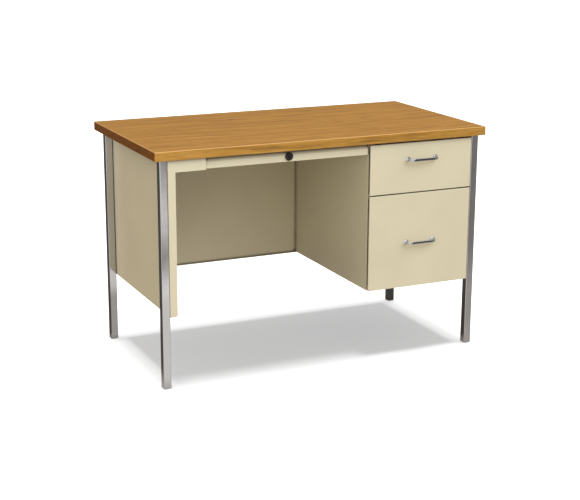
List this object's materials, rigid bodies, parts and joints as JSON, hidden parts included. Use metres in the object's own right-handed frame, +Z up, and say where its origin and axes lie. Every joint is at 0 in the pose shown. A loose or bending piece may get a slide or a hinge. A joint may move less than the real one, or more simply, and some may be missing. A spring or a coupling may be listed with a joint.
{
  "type": "desk",
  "caption": "Single-pedestal steel desk with a wood-grain top, square chrome legs, a modesty panel, a lockable centre drawer, a box drawer and a file drawer.",
  "frame": {"origin": "on the floor, under the middle of the top in plan", "axes": "+X to the sitter's right along the front, +Y to the back, +Z up; the drawer fronts face -Y"},
  "size_m": [1.1494, 0.621, 0.7493],
  "materials": {
    "oak_laminate": "satin wood-grain laminate",
    "oak_edge": "satin wood-grain edge band",
    "particle_board": "raw board",
    "backer_sheet": "matt",
    "putty_steel": "semi-gloss baked enamel",
    "chrome": "polished",
    "zinc_steel": "zinc plated",
    "black_plastic": "matt",
    "black_enamel": "satin black",
    "rubber": "matt"
  },
  "bodies": {
    "frame": {"top_core": "particle_board", "top_laminate": "oak_laminate", "top_backer": "backer_sheet", "top_edge_band": "oak_edge", "leg_front_left": "chrome", "leg_front_right": "chrome", "leg_rear_left": "chrome", "leg_rear_right": "chrome", "leg_end_plugs": "black_plastic", "levelling_glides": "black_plastic", "left_end_panel": "putty_steel", "left_end_liner": "putty_steel", "kneehole_trim": "putty_steel", "modesty_panel": "putty_steel", "pedestal_left_side": "putty_steel", "pedestal_right_side": "putty_steel", "pedestal_back": "putty_steel", "pedestal_top_rail": "putty_steel", "pedestal_middle_rail": "putty_steel", "pedestal_bottom_rail": "putty_steel", "centre_channel_hanger": "zinc_steel", "centre_channel_left": "zinc_steel", "centre_channel_right": "zinc_steel", "box_slide_outer_left": "zinc_steel", "box_slide_outer_right": "zinc_steel", "file_slide_outer_left": "zinc_steel", "file_slide_outer_right": "zinc_steel", "leg_bolts": "zinc_steel", "top_screws": "zinc_steel", "panel_screws": "zinc_steel", "drawer_bumpers": "rubber", "lock_strike": "zinc_steel"},
    "box_slide_middle": {"box_slide_middle_left": "zinc_steel", "box_slide_middle_right": "zinc_steel"},
    "file_slide_middle": {"file_slide_middle_left": "zinc_steel", "file_slide_middle_right": "zinc_steel"},
    "box_drawer": {"box_drawer_front": "putty_steel", "box_drawer_liner": "putty_steel", "box_drawer_body": "putty_steel", "box_drawer_pull": "chrome", "box_pull_screws": "zinc_steel", "box_slide_inner_left": "zinc_steel", "box_slide_inner_right": "zinc_steel"},
    "file_drawer": {"file_drawer_front": "putty_steel", "file_drawer_liner": "putty_steel", "file_drawer_body": "putty_steel", "file_drawer_pull": "chrome", "file_pull_screws": "zinc_steel", "file_slide_inner_left": "zinc_steel", "file_slide_inner_right": "zinc_steel", "file_hang_rails": "zinc_steel"},
    "centre_drawer": {"centre_drawer_front": "putty_steel", "centre_drawer_tray": "putty_steel", "pencil_tray": "black_plastic", "centre_runner_left": "zinc_steel", "centre_runner_right": "zinc_steel", "lock_housing": "black_enamel"},
    "lock": {"lock_plug": "black_enamel", "lock_cam": "zinc_steel"}
  },
  "joints": [
    {"name": "centre_drawer_slide", "type": "slide", "parent": "frame", "child": "centre_drawer", "axis": [0, -1, 0], "range_m": [0, 0.3]},
    {"name": "box_drawer_slide", "type": "slide", "parent": "frame", "child": "box_drawer", "axis": [0, -1, 0], "range_m": [0, 0.4]},
    {"name": "file_drawer_slide", "type": "slide", "parent": "frame", "child": "file_drawer", "axis": [0, -1, 0], "range_m": [0, 0.45]},
    {"name": "box_middle_slide", "type": "slide", "parent": "frame", "child": "box_slide_middle", "axis": [0, -1, 0], "range_m": [0, 0.2]},
    {"name": "file_middle_slide", "type": "slide", "parent": "frame", "child": "file_slide_middle", "axis": [0, -1, 0], "range_m": [0, 0.225]},
    {"name": "lock_turn", "type": "hinge", "parent": "centre_drawer", "child": "lock", "pos_m": [-0.1287, -0.2822, 0.7], "axis": [0, 1, 0], "range_deg": [0, 90]}
  ],
  "couplings": [
    {"joint": "box_middle_slide", "follows": "box_drawer_slide", "ratio": 0.5},
    {"joint": "file_middle_slide", "follows": "file_drawer_slide", "ratio": 0.5}
  ]
}
